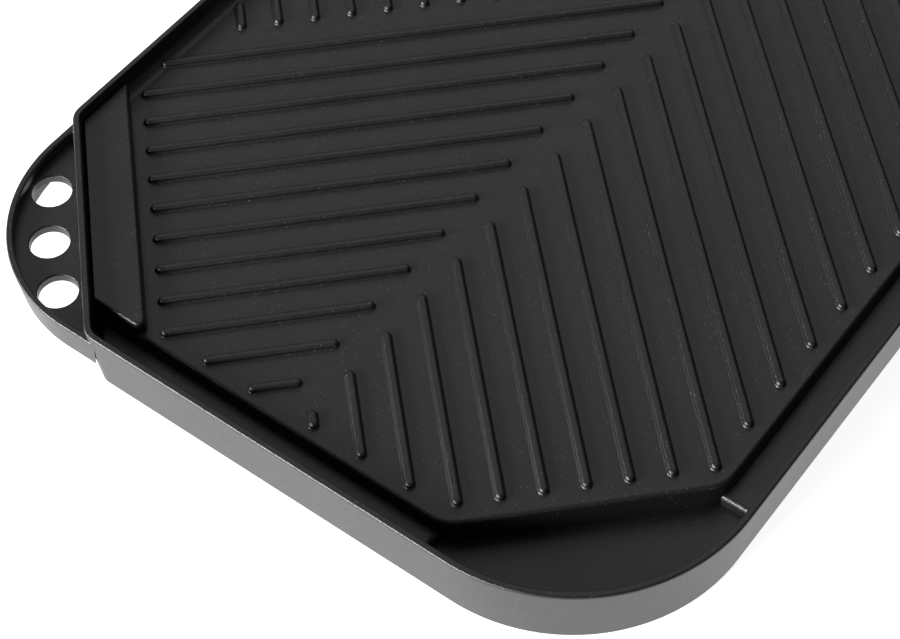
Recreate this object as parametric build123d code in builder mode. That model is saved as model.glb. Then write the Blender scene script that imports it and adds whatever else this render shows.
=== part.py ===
from build123d import *
import os
from math import sqrt, tan, radians

# Ribbed griddle plate for two burners, a thin-walled casting with a raised rim,
# a grease channel that runs into a deeper well, and a pierced corner handle.
# Millimetres, +Z up, origin on the resting plane under the middle of the
# outline. +X runs along the plate from the near end to the far end, and +Y
# points to the left long side. The far half is the near half turned half a
# turn about Z.

# ---- driving dimensions ----
length = 509.8            # outline along X at the rim top
width = 264.2             # outline along Y at the rim top
height = 25.4             # resting plane to rim top
corner_r = 62.0           # outline corner radius at the wells
grip_r = 54.5             # outline radius of the handle
bend_r = 8.0              # outer radius where the handle wall meets a side
chamfer_d = 321.4         # |x - y| of the handle wall's outer face at the rim top
rim_t = 2.3               # rim thickness at the top
rim_ro, rim_ri = 0.8, 0.5     # rounding of the rim's outer and inner top edges
base_r = 1.0              # rounding of the outer bottom edge
outer_draft = 5.3         # degrees, the outline shrinks downwards
inner_draft = 6.0         # degrees, inner face of the rim
skirt_in = 5.6            # inner face of the skirt, inset from the outline
z_deck, deck_t = 17.15, 5.15      # cooking surface and its thickness
z_chan, chan_t = 11.65, 4.0       # channel floor and its thickness
z_well, well_t = 7.65, 4.0        # grease well floor and its thickness
z_pad = 21.75             # raised pad beside each handle
foot_c, foot_w, foot_d = 5.6, 6.3, 7.4    # inset of the wall foot at channel, well, deck
root_c, root_w, root_d = 1.5, 1.5, 4.0    # casting radii at those feet
deck_ax = 241.4           # deck edge along the end channel
deck_cy = 118.2           # deck edge along the side channel
deck_cut = 300.9          # |x + y| of the deck's cut corner over the well
deck_corner_r = 12.7      # rounding of the cut corner's two ends
deck_draft = 5.0          # degrees, deck edge faces
riser_t = 4.0             # thickness of the wall under the deck edge
deck_edge_r = 1.3         # rounding of the deck edge
well_y = 57.8             # the end channel drops into the well here
well_x = 183.6            # the side channel drops into the well here
step_lap = 5.0            # well floor running on under the channel floor
step_r = 1.6              # rounding of that drop
pad_s = 294.9             # |x - y| of the foot of the pad's long side
pad_corner_r, pad_edge_r = 2.4, 1.1   # pad corner and upper edge roundings
pitch = 12.7              # spacing of the ribs
rib_w, rib_h, rib_r = 2.9, 1.85, 1.1      # rib width, height and top rounding
rib_foot = 0.7            # casting radius at the rib's foot
z_grip_top, z_grip_bot = 21.4, 9.2        # handle flange
grip_t = 1.9              # handle flange thickness
hole_edge_r = 0.6         # rounding of the holes' upper edges
z_web, web_t = 17.2, 3.0  # handle web
hole_r = 6.5              # finger and hanging holes
hole_s = (-2.570, -2.683, -2.532)         # hole centres in rib pitches
hole_t = (2.962, 4.640, 6.261)
px, py = 12.926, 9.727    # plate centre in rib pitches from the rib pattern's origin

os.makedirs("parts", exist_ok=True)
R2 = sqrt(2.0)
q = 1 / R2
od, idr = tan(radians(outer_draft)), tan(radians(inner_draft))
hl, hw = length / 2, width / 2
bx = hw - chamfer_d                  # handle wall crosses the left side line here
by = chamfer_d - hl                  # handle wall crosses the near end line here
k = bend_r * tan(radians(22.5))


def at(s, t):
    """Rib pattern coordinates, in pitches along the two rib directions, to mm."""
    return (((s - t) / R2 - px) * pitch, (py - (s + t) / R2) * pitch)


# ---- wall section: inset across, height up, standing at an outline point ----
def wall_face(start, inward, kind):
    z_floor, foot, root, floor_t = kind
    inner_foot = rim_t + (height - z_floor) * idr
    pts = [(height * od, 0), (0, height), (rim_t, height), (inner_foot, z_floor),
           (foot, z_floor)]
    if foot > skirt_in + 0.01:
        pts += [(foot, z_floor - floor_t), (skirt_in, z_floor - floor_t)]
    pts += [(skirt_in, 0)]
    rounded = [(pts[1], rim_ro), (pts[2], rim_ri), (pts[3], root), (pts[0], base_r)]
    run = (inward[1], -inward[0], 0)
    with BuildSketch(Plane(origin=(start[0], start[1], 0),
                           x_dir=(inward[0], inward[1], 0), z_dir=run)) as section:
        with BuildLine():
            Polyline(*pts, close=True)
        make_face()
        for (u, v), r in rounded:
            fillet(section.vertices().sort_by_distance((u, v, 0))[0], r)
    return section.sketch


def straight(start, end, inward, kind):
    extrude(wall_face(start, inward, kind),
            amount=sqrt((end[0] - start[0]) ** 2 + (end[1] - start[1]) ** 2))


def bend(start, inward, r, angle, kind):
    centre = (start[0] + inward[0] * r, start[1] + inward[1] * r, 0)
    revolve(wall_face(start, inward, kind), axis=Axis(centre, (0, 0, 1)),
            revolution_arc=angle)


chan_kind = (z_chan, foot_c, root_c, chan_t)
well_kind = (z_well, foot_w, root_w, well_t)
deck_kind = (z_deck, foot_d, root_d, deck_t)

with BuildPart() as near_end_wall:
    straight((-hl, by - k), (-hl, -well_y), (1, 0), chan_kind)

with BuildPart() as near_well_wall:
    straight((-hl, -well_y), (-hl, -(hw - corner_r)), (1, 0), well_kind)
    bend((-hl, -(hw - corner_r)), (1, 0), corner_r, 90, well_kind)
    straight((-(hl - corner_r), -hw), (-well_x, -hw), (0, 1), well_kind)

with BuildPart() as right_channel_wall:
    straight((-well_x, -hw), (0, -hw), (0, 1), chan_kind)

with BuildPart() as left_deck_wall:
    straight((0, hw), (bx + k, hw), (0, -1), deck_kind)

with BuildPart() as near_handle_wall:
    bend((bx + k, hw), (0, -1), bend_r, 45, chan_kind)
    straight((bx - k * q, hw - k * q), (-hl + k * q, by + k * q), (q, -q), chan_kind)
    bend((-hl + k * q, by + k * q), (q, -q), bend_r, 45, chan_kind)

# upright plane inside the handle wall, facing the deck
behind_wall = Plane(origin=(0, chamfer_d - 3.8, 0), x_dir=(q, q, 0), z_dir=(q, -q, 0))

# ---- cooking deck, with a riser wall under its channel edges ----
with BuildPart() as near_deck:
    with BuildSketch(Plane.XY.offset(z_deck)) as deck_top:
        with BuildLine():
            Polyline((-deck_ax, by + 10), (-deck_ax, -(deck_cut - deck_ax)),
                     (-(deck_cut - deck_cy), -deck_cy), (30, -deck_cy),
                     (30, hw - foot_d), (bx + k, hw - foot_d), (bx + k, hw - 4),
                     (bx - 2, hw - 4), (-deck_ax, by + 11), close=True)
        make_face()
        fillet(deck_top.vertices().filter_by(
            lambda v: abs(v.X + v.Y + deck_cut) < 0.1), deck_corner_r)
    extrude(amount=-(z_deck - (z_well - well_t)), taper=-deck_draft)
    with BuildSketch(Plane.XY.offset(z_deck - deck_t)):
        with BuildLine():
            Polyline((-deck_ax + riser_t, by + 40),
                     (-deck_ax + riser_t, -(deck_cut - deck_ax) + 1.7),
                     (-(deck_cut - deck_cy) + 1.7, -deck_cy + riser_t),
                     (40, -deck_cy + riser_t), (40, deck_cy - riser_t),
                     (-riser_t, deck_cy - riser_t), (-riser_t, hw + 10), (-hl, hw + 10),
                     (-hl, by + 40), close=True)
        make_face()
    extrude(amount=-40, mode=Mode.SUBTRACT)
    with Locations((100, 0, 0)):
        Box(200, 600, 100, mode=Mode.SUBTRACT)
    with Locations(((bx + k) / 2 + 50, hw - foot_d + 50, 0)):
        Box(abs(bx + k) + 100, 100, 100, mode=Mode.SUBTRACT)
    rim_edges = near_deck.edges().filter_by(
        lambda e: abs(e.center().Z - z_deck) < 1e-3 and e.center().X < -0.5
        and (e.center().X < -deck_ax + 8 and e.center().Y < 40
             or e.center().Y < -deck_cy + 8
             or abs(e.center().X + e.center().Y + deck_cut) < 8))
    fillet(rim_edges, deck_edge_r)
    split(bisect_by=behind_wall, keep=Keep.TOP)
    add(near_handle_wall.part, mode=Mode.SUBTRACT)

# ---- raised pad on the deck beside the handle wall ----
with BuildPart() as near_pad:
    with BuildSketch(Plane.XY.offset(z_deck)) as pad_foot:
        with BuildLine():
            Polyline((-deck_ax, chamfer_d - deck_ax - 4.6), (-deck_ax, pad_s - deck_ax),
                     (hw - 3 - pad_s, hw - 3), (hw - 3 - chamfer_d + 4.6, hw - 3),
                     close=True)
        make_face()
        fillet(pad_foot.vertices().filter_by(
            lambda v: abs(v.Y - (pad_s - deck_ax)) < 0.1), pad_corner_r)
    extrude(amount=z_pad - z_deck, taper=deck_draft)
    fillet(near_pad.edges().filter_by(
        lambda e: abs(e.center().Z - z_pad) < 1e-3
        and (abs(e.center().X - e.center().Y + pad_s) < 6
             or e.center().X < -deck_ax + 3)), pad_edge_r)
    add(near_handle_wall.part, mode=Mode.SUBTRACT)
    add(left_deck_wall.part, mode=Mode.SUBTRACT)

# ---- channel and well floors ----
with BuildPart() as near_end_channel:
    with BuildSketch(Plane.XY.offset(z_chan)):
        with BuildLine():
            Polyline((-hl + foot_c, -well_y), (-deck_ax + 3, -well_y),
                     (-deck_ax + 3, by + 12), (-hl + foot_c, by + 4), close=True)
        make_face()
    extrude(amount=-chan_t)
    fillet(near_end_channel.edges().filter_by(
        lambda e: abs(e.center().Z - z_chan) < 1e-3
        and abs(e.center().Y + well_y) < 1e-3), step_r)
    split(bisect_by=behind_wall, keep=Keep.TOP)
    add(near_deck.part, mode=Mode.SUBTRACT)
    add(near_handle_wall.part, mode=Mode.SUBTRACT)

with BuildPart() as right_channel:
    with BuildSketch(Plane.XY.offset(z_chan)):
        with BuildLine():
            Polyline((-well_x, -hw + foot_c), (0, -hw + foot_c), (0, -deck_cy + 3),
                     (-well_x, -deck_cy + 3), close=True)
        make_face()
    extrude(amount=-chan_t)
    fillet(right_channel.edges().filter_by(
        lambda e: abs(e.center().Z - z_chan) < 1e-3
        and abs(e.center().X + well_x) < 1e-3), step_r)
    add(near_deck.part, mode=Mode.SUBTRACT)

with BuildPart() as near_grease_well:
    with BuildSketch(Plane.XY.offset(z_well)):
        with BuildLine():
            a = (-hl + foot_w, -well_y + step_lap)
            b = (-hl + foot_w, -(hw - corner_r))
            m = (-(hl - corner_r) - (corner_r - foot_w) * q,
                 -(hw - corner_r) - (corner_r - foot_w) * q)
            c = (-(hl - corner_r), -hw + foot_w)
            d = (-well_x + step_lap, -hw + foot_w)
            Line(a, b)
            ThreePointArc(b, m, c)
            Line(c, d)
            Polyline(d, (-well_x + step_lap, -deck_cy + 2),
                     (-(deck_cut - deck_cy) + 1, -deck_cy + 2),
                     (-deck_ax + 2, -(deck_cut - deck_ax) + 1),
                     (-deck_ax + 2, -well_y + step_lap), a)
        make_face()
    extrude(amount=-well_t)
    add(near_deck.part, mode=Mode.SUBTRACT)
    add(near_end_wall.part, mode=Mode.SUBTRACT)
    add(right_channel_wall.part, mode=Mode.SUBTRACT)


# ---- handle: flange round the outline corner, thin web with three holes ----
def grip_face(z, z_draft, inset, over, r_in):
    """Corner of the outline beyond the handle wall, drawn at height z with the
    draft of height z_draft, and moved in by inset."""
    g = (height - z_draft) * od + inset
    r = grip_r - g
    cx, cy = -(hl - grip_r), hw - grip_r
    face = -chamfer_d + (height - z_draft) * od * R2
    p1 = (face + (hw - g) + over, hw - g)
    p2 = (-(hl - g), -face - (hl - g) - over)
    with BuildSketch(Plane.XY.offset(z)) as outline:
        with BuildLine():
            Line(p1, (cx, hw - g))
            ThreePointArc((cx, hw - g), (cx - r * q, cy + r * q), (-(hl - g), cy))
            Line((-(hl - g), cy), p2)
            Line(p2, p1)
        make_face()
        if r_in:
            fillet(outline.vertices().sort_by(lambda v: v.X - v.Y)[-2:], r_in)
    return outline.sketch


with BuildPart() as near_handle:
    extrude(grip_face(z_grip_top, z_grip_top, 0.0, 3.0, 0),
            amount=-(z_grip_top - z_grip_bot), taper=outer_draft)
    extrude(grip_face(z_web, z_web, grip_t, -0.5, 1.2), amount=20, mode=Mode.SUBTRACT)
    extrude(grip_face(z_web - web_t, z_web, grip_t + 0.2, -0.5, 1.0), amount=-20,
            mode=Mode.SUBTRACT)
    for i in range(3):
        with BuildSketch(Plane.XY.offset(z_web + 1)):
            with Locations(at(hole_s[i], hole_t[i])):
                Circle(hole_r)
        extrude(amount=-(web_t + 1.5), mode=Mode.SUBTRACT)
    fillet(near_handle.edges().filter_by(GeomType.CIRCLE).filter_by(
        lambda e: abs(e.radius - hole_r) < 1e-3 and abs(e.center().Z - z_web) < 1e-3),
        hole_edge_r)
    fillet(near_handle.edges().filter_by(
        lambda e: abs(e.center().Z - z_grip_top) < 1e-3
        and e.center().X - e.center().Y < -chamfer_d - 4), 0.7)
    add(near_handle_wall.part, mode=Mode.SUBTRACT)
    add(left_deck_wall.part, mode=Mode.SUBTRACT)
    add(near_end_wall.part, mode=Mode.SUBTRACT)


# ---- ribs: round-topped bars standing on the deck ----
def rib_half(pl):
    """Half of the rib's section: flared foot, steep side, rounded top."""
    top_w = rib_w / 2 - (rib_h - rib_foot) * 0.12
    with BuildSketch(pl) as sk:
        with BuildLine():
            Line((0, 0), (rib_w / 2 + rib_foot, 0))
            Line((rib_w / 2 + rib_foot, 0), (rib_w / 2 + rib_foot, 0.04))
            ThreePointArc((rib_w / 2 + rib_foot, 0.04),
                          (rib_w / 2 + rib_foot * 0.29, rib_foot * 0.29 + 0.03),
                          (rib_w / 2, rib_foot))
            Line((rib_w / 2, rib_foot), (top_w, rib_h))
            Line((top_w, rib_h), (0, rib_h))
            Line((0, rib_h), (0, 0))
        make_face()
        fillet(sk.vertices().sort_by_distance((top_w, rib_h, 0))[0], rib_r)
    return sk.sketch


def rib(p, r):
    """Round-ended bar between the centres p and r of its end caps."""
    dx, dy = r[0] - p[0], r[1] - p[1]
    n = sqrt(dx * dx + dy * dy)
    dx, dy = dx / n, dy / n
    left = Plane(origin=(p[0], p[1], z_deck), x_dir=(-dy, dx, 0), z_dir=(dx, dy, 0))
    right = Plane(origin=(p[0], p[1], z_deck), x_dir=(dy, -dx, 0), z_dir=(-dx, -dy, 0))
    tip = Plane(origin=(r[0], r[1], z_deck), x_dir=(-dy, dx, 0), z_dir=(dx, dy, 0))
    with BuildPart(mode=Mode.PRIVATE) as bar:
        extrude(rib_half(left), amount=n)
        extrude(rib_half(right), amount=-n)
        revolve(rib_half(left), axis=Axis((p[0], p[1], 0), (0, 0, 1)), revolution_arc=180)
        revolve(rib_half(tip), axis=Axis((r[0], r[1], 0), (0, 0, -1)), revolution_arc=180)
    return bar.part


half = rib_w / 2 / pitch
spine_lo = py * R2 - 0.62        # s + t where the left-hand ribs stop at the middle
spine_hi = py * R2 + 0.44        # s + t where the right-hand ribs start
far_t = 2 * (py - px) / R2 + 1.955
with BuildPart() as near_left_ribs:
    for j in range(11):
        s0 = 0.03 if j < 9 else (0.98 if j == 9 else 1.98)
        add(rib(at(s0, j + 0.03), at(spine_lo - j - half, j + 0.03)))

with BuildPart() as left_dividing_rib:
    add(rib(at(0.62, -1.0), at(spine_lo + 1.0 - half, -1.0)))
    add(left_deck_wall.part, mode=Mode.SUBTRACT)

near_right, far_right = [], []
for i in range(-3, 24):
    s = 6.29 + i
    t_up = max(spine_hi - s + half, far_t + half)
    if i < 0:
        t_low = s + 8.01
    elif i < 7:
        t_low = 13.95
    else:
        t_low = 26.2 - s
    t_wall = (py + (hw - 7.8) / pitch) * R2 - s
    if at(s, t_wall)[0] > 4:
        # no channel beside the far half, so these ribs run on to the side wall
        t_low = t_wall
    (near_right if i < 10 else far_right).append((at(s, t_low), at(s, t_up)))

with BuildPart() as near_right_ribs:
    for p, r in near_right:
        add(rib(p, r))

far_side = Rot(0, 0, 180) * left_deck_wall.part
with BuildPart() as middle_right_ribs:
    for p, r in far_right:
        add(rib(p, r))
    add(far_side, mode=Mode.SUBTRACT)

pieces = [
    (near_deck, "near_deck", "far_deck"),
    (near_end_wall, "near_end_wall", "far_end_wall"),
    (near_well_wall, "near_well_wall", "far_well_wall"),
    (right_channel_wall, "right_channel_wall", "left_channel_wall"),
    (left_deck_wall, "left_deck_wall", "right_deck_wall"),
    (near_handle_wall, "near_handle_wall", "far_handle_wall"),
    (near_handle, "near_handle", "far_handle"),
    (near_pad, "near_pad", "far_pad"),
    (near_end_channel, "near_end_channel", "far_end_channel"),
    (right_channel, "right_channel", "left_channel"),
    (near_grease_well, "near_grease_well", "far_grease_well"),
    (near_left_ribs, "near_left_ribs", "far_right_ribs"),
    (near_right_ribs, "near_right_ribs", "far_left_ribs"),
    (middle_right_ribs, "middle_right_ribs", "middle_left_ribs"),
    (left_dividing_rib, "left_dividing_rib", "right_dividing_rib"),
]
for piece, name, mate in pieces:
    piece.part.label = name
    export_step(piece.part, "parts/" + name + ".step")
    far = Rot(0, 0, 180) * piece.part
    far.label = mate
    export_step(far, "parts/" + mate + ".step")
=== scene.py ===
import math

import bpy
from mathutils import Matrix, Vector

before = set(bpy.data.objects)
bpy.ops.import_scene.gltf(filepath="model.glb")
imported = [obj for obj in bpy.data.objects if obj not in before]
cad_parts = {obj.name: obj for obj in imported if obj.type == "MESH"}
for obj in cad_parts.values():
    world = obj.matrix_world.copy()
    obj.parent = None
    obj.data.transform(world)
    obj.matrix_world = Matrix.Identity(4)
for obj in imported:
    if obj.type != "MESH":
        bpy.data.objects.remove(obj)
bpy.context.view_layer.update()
scene = bpy.context.scene

# ---------------------------------------------------------------- materials


def new_material(name):
    mat = bpy.data.materials.new(name)
    mat.use_nodes = True
    tree = mat.node_tree
    tree.nodes.clear()
    return mat, tree


def node(tree, kind, **sockets):
    n = tree.nodes.new(kind)
    for key, value in sockets.items():
        setattr(n, key, value)
    return n


def coating(name, colour, lighter, rough, bump, speck, grain_scale=1.0):
    """Non-stick coating on a casting: near black, faintly mottled, with fine
    pale specks and the slight grain of a sprayed and baked finish."""
    mat, tree = new_material(name)
    link = tree.links.new
    out = node(tree, "ShaderNodeOutputMaterial")
    bsdf = node(tree, "ShaderNodeBsdfPrincipled")
    link(bsdf.outputs["BSDF"], out.inputs["Surface"])
    bsdf.inputs["Specular IOR Level"].default_value = 0.5
    bsdf.inputs["IOR"].default_value = 1.6
    coords = node(tree, "ShaderNodeTexCoord")

    mottle = node(tree, "ShaderNodeTexNoise")
    mottle.inputs["Scale"].default_value = 26.0
    mottle.inputs["Detail"].default_value = 4.0
    mottle.inputs["Roughness"].default_value = 0.6
    link(coords.outputs["Object"], mottle.inputs["Vector"])

    tone = node(tree, "ShaderNodeValToRGB")
    tone.color_ramp.elements[0].position = 0.32
    tone.color_ramp.elements[0].color = (*colour, 1)
    tone.color_ramp.elements[1].position = 0.72
    tone.color_ramp.elements[1].color = (*lighter, 1)
    link(mottle.outputs["Fac"], tone.inputs["Fac"])

    # fine pale specks
    cells = node(tree, "ShaderNodeTexVoronoi")
    cells.inputs["Scale"].default_value = 900.0 * grain_scale
    cells.inputs["Randomness"].default_value = 1.0
    link(coords.outputs["Object"], cells.inputs["Vector"])
    dot = node(tree, "ShaderNodeValToRGB")
    dot.color_ramp.elements[0].position = 0.0
    dot.color_ramp.elements[0].color = (1, 1, 1, 1)
    dot.color_ramp.elements[1].position = 0.26
    dot.color_ramp.elements[1].color = (0, 0, 0, 1)
    link(cells.outputs["Distance"], dot.inputs["Fac"])
    pick = node(tree, "ShaderNodeSeparateColor")
    link(cells.outputs["Color"], pick.inputs["Color"])
    few = node(tree, "ShaderNodeMath", operation="GREATER_THAN")
    few.inputs[1].default_value = 0.80
    link(pick.outputs["Red"], few.inputs[0])
    specks = node(tree, "ShaderNodeMath", operation="MULTIPLY")
    link(dot.outputs["Color"], specks.inputs[0])
    link(few.outputs["Value"], specks.inputs[1])
    strength = node(tree, "ShaderNodeMath", operation="MULTIPLY")
    strength.inputs[1].default_value = speck
    link(specks.outputs["Value"], strength.inputs[0])
    mix = node(tree, "ShaderNodeMix", data_type="RGBA")
    link(strength.outputs["Value"], mix.inputs[0])
    link(tone.outputs["Color"], mix.inputs[6])
    mix.inputs[7].default_value = (0.20, 0.20, 0.21, 1)
    link(mix.outputs[2], bsdf.inputs["Base Color"])

    # roughness varies slowly over the casting
    cloud = node(tree, "ShaderNodeTexNoise")
    cloud.inputs["Scale"].default_value = 9.0
    cloud.inputs["Detail"].default_value = 3.0
    link(coords.outputs["Object"], cloud.inputs["Vector"])
    rr = node(tree, "ShaderNodeMapRange")
    rr.inputs["From Min"].default_value = 0.3
    rr.inputs["From Max"].default_value = 0.7
    rr.inputs["To Min"].default_value = rough - 0.035
    rr.inputs["To Max"].default_value = rough + 0.035
    link(cloud.outputs["Fac"], rr.inputs["Value"])
    link(rr.outputs["Result"], bsdf.inputs["Roughness"])

    # sprayed grain: fine and coarse together
    fine = node(tree, "ShaderNodeTexNoise")
    fine.inputs["Scale"].default_value = 1500.0 * grain_scale
    fine.inputs["Detail"].default_value = 3.0
    fine.inputs["Roughness"].default_value = 0.65
    link(coords.outputs["Object"], fine.inputs["Vector"])
    coarse = node(tree, "ShaderNodeTexNoise")
    coarse.inputs["Scale"].default_value = 260.0 * grain_scale
    coarse.inputs["Detail"].default_value = 2.0
    link(coords.outputs["Object"], coarse.inputs["Vector"])
    grain = node(tree, "ShaderNodeMath", operation="MULTIPLY_ADD")
    grain.inputs[1].default_value = 0.35
    link(coarse.outputs["Fac"], grain.inputs[0])
    link(fine.outputs["Fac"], grain.inputs[2])
    b = node(tree, "ShaderNodeBump")
    b.inputs["Strength"].default_value = bump
    b.inputs["Distance"].default_value = 0.00018
    link(grain.outputs["Value"], b.inputs["Height"])
    link(b.outputs["Normal"], bsdf.inputs["Normal"])
    return mat


face_mat = coating("cooking_face_coating", (0.0060, 0.0061, 0.0066), (0.0095, 0.0095, 0.0100),
                   0.37, 0.80, 0.55)
body_mat = coating("cast_body_coating", (0.0060, 0.0061, 0.0066), (0.0095, 0.0095, 0.0100),
                   0.36, 0.65, 0.45)

for name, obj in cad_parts.items():
    face = ("deck" in name and "wall" not in name) or "rib" in name or "pad" in name
    mat = face_mat if face else body_mat
    for slot in obj.material_slots:
        slot.material = mat

# ---------------------------------------------------------------- stage
white, tree = new_material("pale_floor")
out = node(tree, "ShaderNodeOutputMaterial")
bsdf = node(tree, "ShaderNodeBsdfPrincipled")
bsdf.inputs["Base Color"].default_value = (0.6, 0.6, 0.6, 1)
bsdf.inputs["Roughness"].default_value = 0.9
bsdf.inputs["Specular IOR Level"].default_value = 0.2
bsdf.inputs["Emission Color"].default_value = (1, 1, 1, 1)
bsdf.inputs["Emission Strength"].default_value = 0.90
tree.links.new(bsdf.outputs["BSDF"], out.inputs["Surface"])
mesh = bpy.data.meshes.new("studio_floor")
s = 6.0
mesh.from_pydata([(-s, -s, -0.0002), (s, -s, -0.0002), (s, s, -0.0002), (-s, s, -0.0002)], [],
                 [(0, 1, 2, 3)])
mesh.materials.append(white)
floor = bpy.data.objects.new("studio_floor", mesh)
scene.collection.objects.link(floor)

world = bpy.data.worlds.new("studio")
scene.world = world
world.use_nodes = True
world.node_tree.nodes["Background"].inputs["Color"].default_value = (1, 1, 1, 1)
world.node_tree.nodes["Background"].inputs["Strength"].default_value = 0.10


def area(name, loc, target, size, power, size_y=None):
    light = bpy.data.lights.new(name, "AREA")
    light.shape = "RECTANGLE"
    light.size = size
    light.size_y = size_y or size
    light.energy = power
    obj = bpy.data.objects.new(name, light)
    scene.collection.objects.link(obj)
    obj.location = loc
    d = Vector(target) - Vector(loc)
    obj.rotation_euler = d.to_track_quat("-Z", "Y").to_euler()
    return obj


# a long bright softbox low on the left, a faint wide one overhead
area("side_strip", (-1.55, 0.75, 0.55), (-0.05, 0, 0), 1.7, 78, 0.42)
area("overhead_softbox", (1.15, 0.92, 1.85), (0, 0, 0), 2.6, 10.2)

# ---------------------------------------------------------------- camera
cam = bpy.data.cameras.new("camera")
cam.sensor_width = 36.0
cam.lens = 86.635
cam.clip_start = 0.05
cam_obj = bpy.data.objects.new("camera", cam)
scene.collection.objects.link(cam_obj)


def rotvec(v):
    a = math.sqrt(sum(c * c for c in v))
    return Matrix.Rotation(a, 3, Vector(v).normalized())


R = rotvec((-0.65179, -0.01807, -0.14817))
q = 1 / math.sqrt(2)


def to_world(v):
    return Vector(((v[0] - v[1]) * q, -(v[0] + v[1]) * q, -v[2]))


right, down, ahead = (to_world(R[i]) for i in range(3))
m = Matrix(((right.x, -down.x, -ahead.x), (right.y, -down.y, -ahead.y),
            (right.z, -down.z, -ahead.z))).to_4x4()
pitch = 0.0127
cs, ct, ch = 3.563, 40.383, 41.739
m.translation = Vector((((cs - ct) * q - 12.926) * pitch, (9.727 - (cs + ct) * q) * pitch,
                        (ch + 1.35) * pitch))
cam_obj.matrix_world = m
scene.camera = cam_obj

scene.view_settings.view_transform = "Standard"
scene.view_settings.look = "None"
